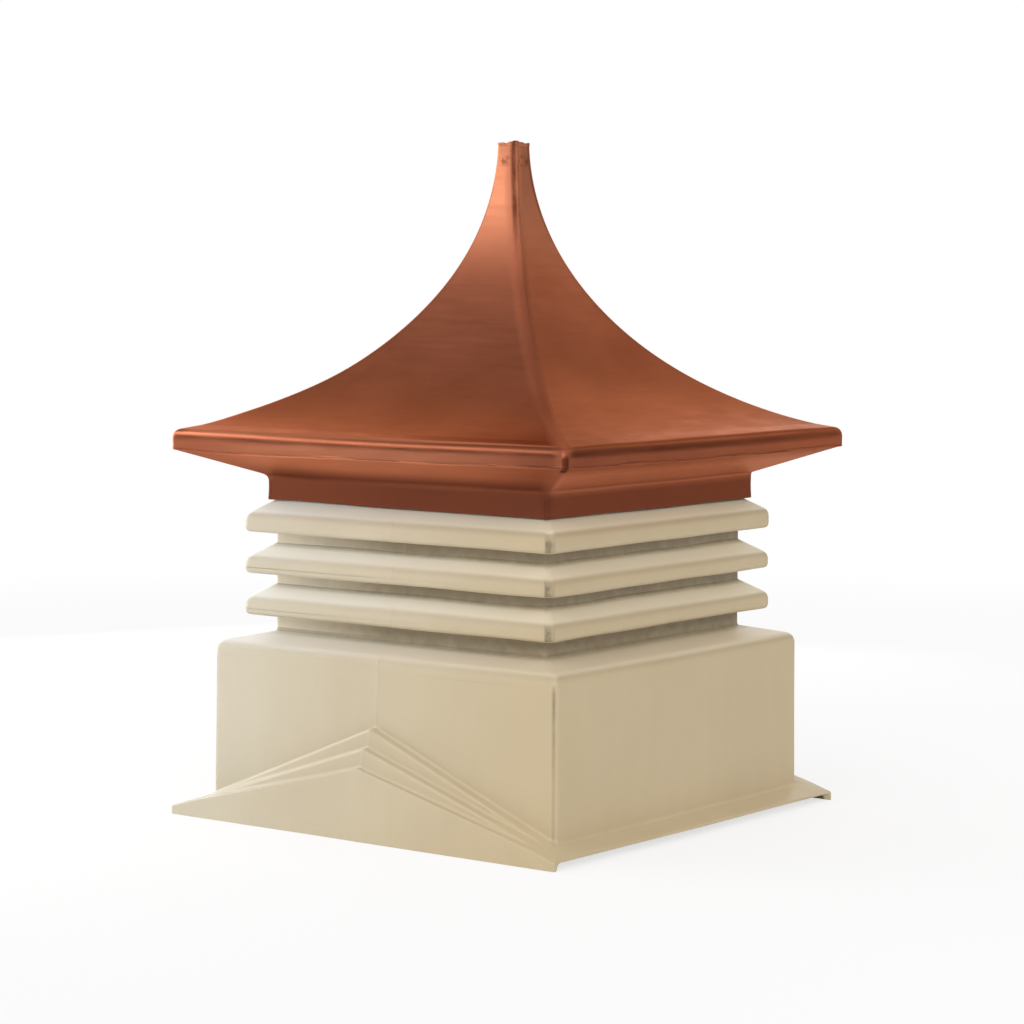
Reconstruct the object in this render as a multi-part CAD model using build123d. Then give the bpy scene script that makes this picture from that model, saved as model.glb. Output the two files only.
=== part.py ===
"""Louvred barn cupola: a square moulded base with three louvre rings under a concave copper roof.

The frame has +Z up and its origin at the centre of the footprint, on the plane it rests on.
The gable sides, whose aprons carry the three roof-pitch steps, face -Y (front) and +Y (back).
The eave sides, with a plain flared flange, face +X (right) and -X (left).
Every side piece is drawn once, facing -Y, and turned about Z to the sides that carry it.
"""
from build123d import *
import os
from math import cos, radians, sin, sqrt, tan

# ---- driving dimensions, mm ----
BODY_SHELL = 5.0            # wall thickness of the tan mouldings
ROOF_SHELL = 3.0            # wall thickness of the copper roof

# base box and its foot
WALL_HALF = 305.0           # half the width over the base walls
WALL_CORNER = 10.0          # plan radius of the wall corners
WALL_FOOT = 24.5            # height of the crease where an eave wall meets its flange
FOOT_HALF = 345.5           # half the width over the aprons and flanges
FOOT_TOP = 13.0             # height of the apron's top edge at its outer corners
FLANGE_LIFT = 10.5          # clearance under an eave flange's lower edge
FLANGE_SHELL = 4.0          # thickness of an eave flange where it meets the wall
PITCH_FOOT = 25.5           # height where all the pitch lines meet a wall corner
PITCHES = (5 / 12, 4 / 12, 3 / 12)      # roof pitches marked by the three steps, inner to outer
STEP_FACES = (320.0, 334.0, FOOT_HALF)  # distance of each step's face from the axis

# shoulder and louvred neck
SHOULDER_SLOPE = 14.0       # degrees below level
SHOULDER_TOP = 264.0        # height where the shoulder meets the neck wall
SHOULDER_ROLL = 12.0        # outer radius of the shoulder's rolled edge
NECK_HALF = 241.5           # half the width over the neck walls
NECK_TOP = 480.0            # height of the neck walls, which carry the roof
NECK_CORNER = 6.0           # plan radius of the neck's corners
LOUVRE_HALF = 274.5         # half the width over the louvre noses
LOUVRE_CORNER = 9.5         # plan radius of the louvre noses' corners
LOUVRE_SHELL = 4.0          # wall thickness of the louvres
LOUVRE_LOWEST = 288.5       # underside of the lowest louvre ring
LOUVRE_SPACING = 59.5       # from one ring's underside to the next
LOUVRE_HEIGHTS = (43.5, 43.5, 47.0)     # height of each ring at the neck wall, bottom to top
LOUVRE_SLOPE = 32.0         # degrees below level
NOSE_TOP_RADIUS = 10.0      # rounding from a louvre's slope to its nose
NOSE_FOOT_RADIUS = 5.0      # rounding from a louvre's nose to its underside
LOUVRE_NAMES = ("bottom", "middle", "top")

# roof
ROOF_TOP = 966.0            # height of the flat tip
TIP_HALF = 17.5             # half the width of the flat tip
SWEEP_RADIUS = 429.0        # radius of the panels' concave sweep
SWEEP_RISE = 5.0            # how far the sweep's centre lies above the tip
CAP_THICK = 5.0             # thickness of the plate that closes the tip
CAP_CORNER = 4.0            # its plan radius
PLUG_HALF = 13.5            # half the width of the cap's plug, which sits inside the panels
PLUG_DEPTH = 8.0            # how far the plug reaches down
EAVE_HALF = 348.5           # half the width over the fascias
EAVE_CORNER = 8.0           # plan radius of the eave corners
FASCIA_FOOT = 527.0         # underside of the fascia
FASCIA_ROLL = 3.0           # rounding of the fascia's upper edge
COLLAR_HALF = 252.0         # half the width over the copper collar below the soffit
COLLAR_TOP = 489.5          # height where the soffit turns down into the collar
COLLAR_FOOT = 453.5         # lower edge of the collar
COLLAR_HEM = 1.0            # rounding of that edge
COLLAR_ROLL = 8.0           # rounding from the soffit to the collar

REACH = 1200.0              # longer than anything in the model, for cutting solids

# ---- frame for side profiles: x is the distance from the axis, y is the height ----
FRONT = Plane(origin=(0, 0, 0), x_dir=(0, -1, 0), z_dir=(-1, 0, 0))
MITRE = extrude(make_face(Polyline((0, 0), (-REACH, -REACH), (REACH, -REACH), close=True)), REACH)
TURNS = {"front": 0, "right": 90, "back": 180, "left": 270}


def bar(outline, half_length=REACH):
    """The front side's straight bar with this closed outline, drawn in the FRONT plane."""
    return extrude(FRONT * make_face(outline), half_length, both=True)


def rounded_block(half, radius, low=0.0, high=REACH):
    """An upright square block with rounded corners, centred on the axis."""
    return Pos(0, 0, low) * extrude(RectangleRounded(2 * half, 2 * half, radius), high - low)


def wall_side(half, thickness, radius, low, high):
    """One mitred side of an upright square tube with rounded corners."""
    outer = rounded_block(half, radius, low, high)
    inner = rounded_block(half - thickness, radius - thickness / 2, low, high)
    return (outer - inner) & MITRE


def around(name, solid, sides=TURNS):
    """The solid, turned to each named side, as a dictionary of nodes."""
    return {name.format(side): Rot(0, 0, TURNS[side]) * solid for side in sides}


def corner_point(start, corner, end, radius):
    """The two tangent points and the middle of the arc that rounds a corner."""
    a, b, c = Vector(*start), Vector(*corner), Vector(*end)
    u, v = (a - b).normalized(), (c - b).normalized()
    half_angle = radians(u.get_angle(v)) / 2
    reach = radius / tan(half_angle)
    centre = b + (u + v).normalized() * (radius / sin(half_angle))
    middle = centre + (b - centre).normalized() * radius
    return b + u * reach, middle, b + v * reach


def outline(points):
    """Closed outline through (x, y, radius) corners, each rounded where its radius isn't zero."""
    edges, ends = [], []
    count = len(points)
    for i, (x, y, radius) in enumerate(points):
        if radius:
            before, after = points[i - 1][:2], points[(i + 1) % count][:2]
            first, middle, last = corner_point(before, (x, y), after, radius)
            edges.append(ThreePointArc(first, middle, last))
            ends.append((first, last))
        else:
            ends.append((Vector(x, y), Vector(x, y)))
    for i in range(count):
        start, end = ends[i][1], ends[(i + 1) % count][0]
        if (end - start).length > 1e-6:
            edges.append(Line(start, end))
    return edges


# ---- base ----
def apron_layer(pitch, face, drop, back):
    """A gable-shaped block under one pitch line, from its face back towards the axis."""
    apex = PITCH_FOOT + pitch * WALL_HALF - drop
    edge = [(FOOT_HALF, FOOT_TOP - drop), (WALL_HALF, PITCH_FOOT - drop)]
    right = [(FOOT_HALF, -drop)] + edge
    left = [(-x, z) for x, z in reversed(right)]
    gable = make_face(Polyline(*right, (0, apex), *left, close=True))
    block = extrude(Plane.XZ * gable, REACH, both=True)
    return block & Pos(0, -(face + back) / 2, 0) * Box(REACH, face - back, REACH)


def apron_block():
    """The solid form of the stepped gable apron."""
    inner = WALL_HALF - BODY_SHELL
    return sum((apron_layer(p, f, 0.0, inner) for p, f in zip(PITCHES, STEP_FACES)), Part())


def apron():
    """The stepped gable apron as a shell, open below and towards the inside."""
    hollow = [apron_layer(p, f - BODY_SHELL, BODY_SHELL, 0.0) for p, f in zip(PITCHES, STEP_FACES)]
    return apron_block() - sum(hollow, Part())


def eave_flange():
    """The flared strip below an eave wall, clear of the floor along its lower edge."""
    inner = WALL_HALF - BODY_SHELL
    corners = [
        (inner, WALL_FOOT, 0),
        (WALL_HALF, WALL_FOOT, 0),
        (FOOT_HALF, FOOT_TOP, 0),
        (FOOT_HALF, FLANGE_LIFT, 0),
        (inner, WALL_FOOT - FLANGE_SHELL, 0),
    ]
    return bar(outline(corners), inner)


def shoulder():
    """The sloping shoulder with its rolled outer edge."""
    fall = tan(radians(SHOULDER_SLOPE))
    edge = SHOULDER_TOP - fall * (WALL_HALF - NECK_HALF)
    inner = WALL_HALF - BODY_SHELL
    inside = NECK_HALF - BODY_SHELL
    drop = BODY_SHELL / cos(radians(SHOULDER_SLOPE))
    corners = [
        (inside, SHOULDER_TOP + fall * BODY_SHELL, 0),
        (WALL_HALF, edge, SHOULDER_ROLL),
        (WALL_HALF, edge - SHOULDER_ROLL, 0),
        (inner, edge - SHOULDER_ROLL, 0),
        (inner, edge + fall * BODY_SHELL - drop, SHOULDER_ROLL - BODY_SHELL),
        (inside, SHOULDER_TOP + fall * BODY_SHELL - drop, 0),
    ]
    # a level seat for the neck wall replaces the slope inside the neck
    seat = Pos(0, 0, SHOULDER_TOP) * extrude(Rectangle(2 * NECK_HALF, 2 * NECK_HALF), REACH)
    return (bar(outline(corners)) & MITRE & rounded_block(WALL_HALF, WALL_CORNER)) - seat


SHOULDER_FOOT = SHOULDER_TOP - tan(radians(SHOULDER_SLOPE)) * (WALL_HALF - NECK_HALF) - SHOULDER_ROLL


def base_wall(low):
    """One side of the base box, before the gable notch is cut."""
    return wall_side(WALL_HALF, BODY_SHELL, WALL_CORNER, low, SHOULDER_FOOT)


# ---- louvred neck ----
def louvre(low, height):
    """A hollow louvre blade: sloping top, rounded nose and flat underside, on the neck wall."""
    high = low + height
    fall = tan(radians(LOUVRE_SLOPE))
    nose = high - fall * (LOUVRE_HALF - NECK_HALF)
    drop = LOUVRE_SHELL / cos(radians(LOUVRE_SLOPE))
    inner = LOUVRE_HALF - LOUVRE_SHELL
    corners = [
        (NECK_HALF, high, 0),
        (LOUVRE_HALF, nose, NOSE_TOP_RADIUS),
        (LOUVRE_HALF, low, NOSE_FOOT_RADIUS),
        (NECK_HALF, low, 0),
        (NECK_HALF, low + LOUVRE_SHELL, 0),
        (inner, low + LOUVRE_SHELL, NOSE_FOOT_RADIUS - LOUVRE_SHELL),
        (inner, nose + fall * LOUVRE_SHELL - drop, NOSE_TOP_RADIUS - LOUVRE_SHELL),
        (NECK_HALF, high - drop, 0),
    ]
    return bar(outline(corners)) & MITRE & rounded_block(LOUVRE_HALF, LOUVRE_CORNER)


# ---- roof ----
SWEEP_CENTRE = (TIP_HALF + sqrt(SWEEP_RADIUS**2 - SWEEP_RISE**2), ROOF_TOP + SWEEP_RISE)


def sweep_point(height, thickness=0.0):
    """The point of the concave sweep at this height, or of its inner face at that depth."""
    radius = SWEEP_RADIUS + thickness
    x = SWEEP_CENTRE[0] - sqrt(radius**2 - (SWEEP_CENTRE[1] - height) ** 2)
    return (x, height)


def sweep_height(x, thickness=0.0):
    """The height of the concave sweep at this distance from the axis."""
    radius = SWEEP_RADIUS + thickness
    return SWEEP_CENTRE[1] - sqrt(radius**2 - (SWEEP_CENTRE[0] - x) ** 2)


def sweep_arc(start, end, thickness=0.0):
    """The arc of the sweep between two heights."""
    return ThreePointArc(
        sweep_point(start, thickness), sweep_point((start + end) / 2, thickness), sweep_point(end, thickness)
    )


def roof_panel():
    """One concave side of the roof, from the fascia's back up to the cap."""
    high = ROOF_TOP - CAP_THICK
    outer_edge = EAVE_HALF - ROOF_SHELL
    low, inner_low = sweep_height(outer_edge), sweep_height(outer_edge, ROOF_SHELL)
    edges = [
        sweep_arc(low, high),
        Line(sweep_point(high), sweep_point(high, ROOF_SHELL)),
        sweep_arc(high, inner_low, ROOF_SHELL),
        Line((outer_edge, inner_low), (outer_edge, low)),
    ]
    return bar(edges) & MITRE


def fascia():
    """The upright rolled strip round the eave."""
    inner = EAVE_HALF - ROOF_SHELL
    top = sweep_height(EAVE_HALF)
    corners = [
        (inner, sweep_height(inner), 0),
        (EAVE_HALF, top, FASCIA_ROLL),
        (EAVE_HALF, FASCIA_FOOT, FASCIA_ROLL / 2),
        (inner, FASCIA_FOOT, 0),
    ]
    return bar(outline(corners)) & MITRE & rounded_block(EAVE_HALF, EAVE_CORNER)


def soffit():
    """The folded sheet under the eave: soffit, upright collar and the seat on the neck wall."""
    outer = EAVE_HALF - ROOF_SHELL
    inner = COLLAR_HALF - ROOF_SHELL
    corners = [
        (outer, FASCIA_FOOT, 0),
        (outer, FASCIA_FOOT + ROOF_SHELL, 0),
        (inner, COLLAR_TOP + ROOF_SHELL, 0),
        (NECK_HALF - BODY_SHELL, COLLAR_TOP + ROOF_SHELL, 0),
        (NECK_HALF - BODY_SHELL, NECK_TOP, 0),
        (inner, NECK_TOP, 0),
        (inner, COLLAR_FOOT, 0),
        (COLLAR_HALF, COLLAR_FOOT, COLLAR_HEM),
        (COLLAR_HALF, COLLAR_TOP, COLLAR_ROLL),
    ]
    return bar(outline(corners)) & MITRE


def spire_cap():
    """The small square plate that closes the tip of the roof, with a plug inside the panels."""
    plate = extrude(RectangleRounded(2 * TIP_HALF, 2 * TIP_HALF, CAP_CORNER), CAP_THICK)
    plug = extrude(Rectangle(2 * PLUG_HALF, 2 * PLUG_HALF), -PLUG_DEPTH)
    return Pos(0, 0, ROOF_TOP - CAP_THICK) * (plate + plug)


# ---- assembly ----
nodes = {}
gable_block = apron_block() + Rot(0, 0, 180) * apron_block()

for side, turn in TURNS.items():
    wall = Rot(0, 0, turn) * base_wall(0.0 if side in ("front", "back") else WALL_FOOT)
    nodes[f"{side}_base_wall"] = wall - gable_block

nodes |= around("{}_apron", apron(), ("front", "back"))
nodes |= around("{}_flange", eave_flange(), ("right", "left"))
nodes |= around("{}_shoulder", shoulder())
neck_wall = wall_side(NECK_HALF, BODY_SHELL, NECK_CORNER, SHOULDER_TOP, NECK_TOP)
nodes |= around("{}_neck_wall", neck_wall)
for level, (label, height) in enumerate(zip(LOUVRE_NAMES, LOUVRE_HEIGHTS)):
    nodes |= around("{}_louvre_" + label, louvre(LOUVRE_LOWEST + level * LOUVRE_SPACING, height))
nodes |= around("{}_soffit", soffit())
nodes |= around("{}_fascia", fascia())
nodes |= around("{}_roof_panel", roof_panel())
nodes["spire_cap"] = spire_cap()

os.makedirs("parts", exist_ok=True)
for name, solid in nodes.items():
    export_step(solid, f"parts/{name}.step")
    print(f"{name:24s} solids {len(solid.solids())}  volume {solid.volume / 1000:9.1f} cm3")
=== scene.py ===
"""Louvred barn cupola: the moulded and formed surfaces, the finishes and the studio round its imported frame.

Every piece is a closed skin worked out on a grid: a section of rows, each carried round a rounded
square plan, with its corners rounded off and a little unevenness added along the surface.
Lengths are metres. The gable sides, with the stepped aprons, face -Y and +Y.
"""
from __future__ import annotations

import functools
import logging
import math
from dataclasses import dataclass, field, replace
from enum import Enum
from typing import TypeAlias

import bpy
import numpy as np
from mathutils import Matrix, Vector


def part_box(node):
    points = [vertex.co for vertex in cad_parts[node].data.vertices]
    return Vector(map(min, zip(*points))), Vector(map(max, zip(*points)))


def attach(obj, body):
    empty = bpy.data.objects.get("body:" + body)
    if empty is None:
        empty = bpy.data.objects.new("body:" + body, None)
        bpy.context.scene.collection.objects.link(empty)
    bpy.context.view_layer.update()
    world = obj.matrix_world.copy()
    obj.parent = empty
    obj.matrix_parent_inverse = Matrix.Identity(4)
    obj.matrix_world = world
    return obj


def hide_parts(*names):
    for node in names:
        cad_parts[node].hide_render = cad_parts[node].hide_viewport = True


MM = 0.001
SIDES = ("front", "right", "back", "left")
SHARP_EDGE = math.radians(42)

Colour: TypeAlias = tuple[float, float, float]
Range: TypeAlias = tuple[float, float]
Size: TypeAlias = "np.ndarray | float"
Value: TypeAlias = "bpy.types.NodeSocket | float"

log = logging.getLogger("cupola")
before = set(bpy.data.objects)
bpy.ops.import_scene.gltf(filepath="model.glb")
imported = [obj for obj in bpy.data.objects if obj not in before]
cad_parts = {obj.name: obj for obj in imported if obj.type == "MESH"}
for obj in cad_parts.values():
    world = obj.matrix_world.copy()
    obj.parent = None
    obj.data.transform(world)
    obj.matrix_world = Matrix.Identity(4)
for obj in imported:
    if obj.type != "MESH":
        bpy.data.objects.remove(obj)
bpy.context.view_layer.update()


class Slot(Enum):
    """The record's material slots."""

    TAN = "tan_moulding"
    COPPER = "copper_roof"


class Level(Enum):
    """The louvre rings, lowest first."""

    BOTTOM = "bottom"
    MIDDLE = "middle"
    TOP = "top"


class Finish(Enum):
    """What covers a piece: tan in the open, tan with painted light and shade in the recesses, copper above or
    below the eaves.
    """

    TAN = "tan"
    RECESS_SHADE = "recess"
    COPPER = "copper"
    DULL_COPPER = "dull copper"


def nodes_of(part: str, sides: tuple[str, ...] = SIDES) -> tuple[str, ...]:
    """Names of a part's nodes on these sides."""
    return tuple(f"{side}_{part}" for side in sides)


def smooth(value: np.ndarray, low: float, high: float) -> np.ndarray:
    """Smooth step from 0 at low to 1 at high: 3 t^2 - 2 t^3.

    Args:
        value: Where to take the step.
        low: Value at which the step starts.
        high: Value at which it ends.

    Returns:
        The step at each value.
    """
    t = np.clip((value - low) / (high - low), 0.0, 1.0)
    return t * t * (3.0 - 2.0 * t)


# ---- surfaces on a grid ----
@dataclass(frozen=True)
class Plan:
    """The columns of a closed rounded square.

    At half width a and corner radius r a column stands at spread * (a - r) + outward * r, so the
    straight sides and the corner arcs are one formula.
    """

    spread: np.ndarray
    outward: np.ndarray
    eave: np.ndarray

    @classmethod
    def square(cls, side: np.ndarray, corner_steps: int) -> Plan:
        """Lays the columns of one side and its following corner, then turns them to all four sides.

        Args:
            side: Places along a side, between -1 and 1.
            corner_steps: Number of columns round one corner.

        Returns:
            The plan, counter-clockwise seen from above, from the front side's left end.
        """
        turn = np.linspace(0.0, np.pi / 2, corner_steps)
        ones = np.ones_like(turn)
        spread = np.concatenate([np.stack([side, -np.ones_like(side)], 1), np.stack([ones, -ones], 1)])
        level = np.stack([np.zeros_like(side), -np.ones_like(side)], 1)
        outward = np.concatenate([level, np.stack([np.sin(turn), -np.cos(turn)], 1)])
        toward_eave = np.concatenate([np.zeros_like(side), smooth(turn, 0.0, np.pi / 2)])
        quarters = [np.array([[c, -s], [s, c]]) for c, s in ((1, 0), (0, 1), (-1, 0), (0, -1))]
        return cls(
            np.concatenate([spread @ q.T for q in quarters]),
            np.concatenate([outward @ q.T for q in quarters]),
            np.concatenate([toward_eave, 1.0 - toward_eave] * 2),
        )

    def at(self, half: Size, radius: Size) -> np.ndarray:
        """X and Y of every column at this half width and corner radius."""
        half, radius = np.broadcast_arrays(half, radius, np.zeros(len(self.spread)))[:2]
        return self.spread * (half - radius)[:, None] + self.outward * radius[:, None]

    def softness(self) -> np.ndarray:
        """1 at the front left corner and 0 at the back right one, whose edges are crisper."""
        return 0.5 - 0.25 * (self.spread[:, 0] + self.spread[:, 1])


@dataclass
class Section:
    """The rows of a closed section, in order, each carried round the plan.

    The curve of a row may take up most_room of the way to its neighbour. Where the neighbour's own
    reach leaves less than that of shared_room, it takes what is left, but never less than
    least_room. A guard row may stand guard_room further out.
    """

    plan: Plan
    rows: list[np.ndarray] = field(default_factory=list)
    reaches: list[np.ndarray] = field(default_factory=list)
    shared_room: float = 0.92
    least_room: float = 0.42
    most_room: float = 0.85
    guard_room: float = 0.06

    def row(self, half: Size, height: Size, radius: Size, reach: Size = 0.0) -> None:
        """Adds a row.

        Args:
            half: Half width of the plan, one number or one for each column, as are the others.
            height: Height.
            radius: Corner radius of the plan.
            reach: How far from this row the rounding of its corner starts.
        """
        flat = self.plan.at(half, radius)
        up = np.broadcast_to(height, len(flat))
        self.rows.append(np.column_stack([flat, up]))
        self.reaches.append(np.broadcast_to(reach, len(flat)))

    def soften(self, steps: int = 7, guard: float = 1.2 * MM) -> tuple[np.ndarray, np.ndarray]:
        """Rounds every row into a quadratic curve between its neighbours.

        With P the row, and A and C the points at its reach towards the rows before and after, the
        curve is (1 - s)^2 A + 2 s (1 - s) P + s^2 C. A guard row follows each end, to keep the
        flat stretches flat when they are shaded.

        Args:
            steps: Number of rows on each curve.
            guard: Distance of the guard rows.

        Returns:
            The grid of points, rows by columns by 3, and the new index of each row's first point.
        """
        rows, reach = np.array(self.rows), np.array(self.reaches)
        before, after = np.roll(rows, 1, axis=0) - rows, np.roll(rows, -1, axis=0) - rows
        gap_before, gap_after = np.linalg.norm(before, axis=2), np.linalg.norm(after, axis=2)
        s = np.linspace(0.0, 1.0, steps)[:, None, None]
        left_before = self.shared_room - np.roll(reach, 1, axis=0) / gap_before
        left_after = self.shared_room - np.roll(reach, -1, axis=0) / gap_after
        room_before = np.clip(left_before, self.least_room, self.most_room)
        room_after = np.clip(left_after, self.least_room, self.most_room)
        start = np.minimum(reach / gap_before, room_before)
        end = np.minimum(reach / gap_after, room_after)
        guard_start = np.minimum((reach + guard) / gap_before, room_before + self.guard_room)[None]
        guard_end = np.minimum((reach + guard) / gap_after, room_after + self.guard_room)[None]
        back = np.concatenate([guard_start, (1 - s) ** 2 * start, 0 * guard_start])
        forth = np.concatenate([0 * guard_end, s**2 * end, guard_end])
        grid = rows + back[..., None] * before + forth[..., None] * after
        keep = np.ones((len(rows), steps + 2), bool)
        keep[reach.max(axis=1) == 0] = False
        keep[:, 1] = True
        first = np.concatenate([[0], np.cumsum(keep.sum(axis=1))[:-1]])
        return grid.transpose(1, 0, 2, 3)[keep], first


def normals_of(grid: np.ndarray) -> np.ndarray:
    """Unit normals of a grid closed both ways: the cross product of its two central differences.

    Args:
        grid: The points, rows by columns by 3.

    Returns:
        The normals.
    """
    across = np.roll(grid, -1, axis=1) - np.roll(grid, 1, axis=1)
    along = np.roll(grid, -1, axis=0) - np.roll(grid, 1, axis=0)
    normal = np.cross(along, across)
    return normal / np.maximum(np.linalg.norm(normal, axis=2, keepdims=True), 1e-12)


@dataclass(frozen=True)
class Unevenness:
    """Slow hills and hollows, and a parting bead down the middle of the gable sides.

    The hills are height / 3 times the sum of three sines, whose directions and lengths differ.
    The bead is bead * exp(-(x / width)^2).
    """

    height: float
    length: float
    phase: float = 0.0
    bead: float = 0.0
    bead_width: float = 1.3 * MM

    def lay_on(self, grid: np.ndarray) -> np.ndarray:
        """Moves every point of a closed grid along its normal.

        Args:
            grid: The points, rows by columns by 3.

        Returns:
            The moved points.
        """
        x, y, z = np.moveaxis(grid, 2, 0)
        k = 2 * np.pi / self.length
        hills = np.sin(k * (x + 0.6 * z) + self.phase)
        hills += np.sin(1.31 * k * (y - 0.4 * z) + 2.1 * self.phase)
        hills += np.sin(0.73 * k * (x - y + 1.7 * z) + 3.7 * self.phase)
        raised = self.height / 3 * hills + self.bead * np.exp(-((x / self.bead_width) ** 2))
        return grid + raised[..., None] * normals_of(grid)


def skin(name: str, grid: np.ndarray, poles: bool = False) -> bpy.types.Object:
    """Makes a closed mesh from a grid of points.

    The columns always close round the axis. The rows close too, or end in poles. The skin is
    turned outwards by the sign of its volume, one sixth of the sum of its corners' triple products.

    Args:
        name: Name of the object.
        grid: The points, rows by columns by 3.
        poles: Whether the first and last rows are single points on the axis.

    Returns:
        The new object.
    """
    rows, columns = grid.shape[:2]
    index = np.arange(rows * columns).reshape(rows, columns)
    if poles:
        index[0], index[-1] = index[0, 0], index[-1, 0]
    else:
        index = np.concatenate([index, index[:1]])
    index = np.concatenate([index, index[:, :1]], axis=1)
    quads = np.stack([index[:-1, :-1], index[:-1, 1:], index[1:, 1:], index[1:, :-1]], -1).reshape(-1, 4)
    points = grid.reshape(-1, 3)
    a, b, c, d = (points[quads[:, i]] for i in range(4))
    volume = np.sum(a * np.cross(b, c)) + np.sum(a * np.cross(c, d))
    if volume < 0:
        quads = quads[:, ::-1]
    mesh = bpy.data.meshes.new(name)
    if poles:
        faces = [tuple(dict.fromkeys(face)) for face in quads.tolist()]
        used = np.unique(quads)
        place = np.zeros(len(points), int)
        place[used] = np.arange(len(used))
        mesh.from_pydata(points[used].tolist(), [], [tuple(place[list(f)]) for f in faces])
    else:
        mesh.from_pydata(points.tolist(), [], quads.tolist())
    mesh.shade_smooth()
    mesh.set_sharp_from_angle(angle=SHARP_EDGE)
    piece = bpy.data.objects.new(name, mesh)
    bpy.context.scene.collection.objects.link(piece)
    return piece


# ---- finishes ----
class Measure(Enum):
    """What a ramp goes by, in the object's own axes.

    OUT is the larger of |X| and |Y|. PAST is |Y| less |X|: 0 along the corners and positive on the gable
    sides. RING is the height above the foot of the louvre ring that a place belongs to.
    """

    X = "x"
    Y = "y"
    Z = "z"
    OUT = "out"
    PAST = "past"
    RING = "ring"


class Mix(Enum):
    """How a second colour joins the first."""

    OVER = "MIX"
    TIMES = "MULTIPLY"


X, Y, Z, OUT, PAST, RING = Measure


@dataclass(frozen=True)
class Ramp:
    """A value that runs evenly between two places of a measure, in millimetres, and is level outside them."""

    by: Measure
    low: float
    high: float
    at_low: float = 0.0
    at_high: float = 1.0


Mark: TypeAlias = tuple[Ramp, ...]


def rise(by: Measure, low: float, high: float, top: float = 1.0) -> Ramp:
    """A ramp from 0 at low up to top at high."""
    return Ramp(by, low, high, 0.0, top)


def fall(by: Measure, low: float, high: float, top: float = 1.0) -> Ramp:
    """A ramp from top at low down to 0 at high."""
    return Ramp(by, low, high, top, 0.0)


def times(colour: Colour, factor: float) -> Colour:
    """The colour with each of its parts multiplied by a factor."""
    return tuple(factor * part for part in colour)


@dataclass(frozen=True)
class Pattern:
    """A noise pattern on stretched object coordinates.

    Scale is its cells in a metre, detail its number of finer layers and rough their strength. Its
    plain values in the range counts become those in the range shows.
    """

    scale: float
    stretch: tuple[float, float, float] = (1, 1, 1)
    detail: float = 2
    rough: float = 0.5
    counts: Range = (0.3, 0.7)
    shows: Range = (0.0, 1.0)


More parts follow.
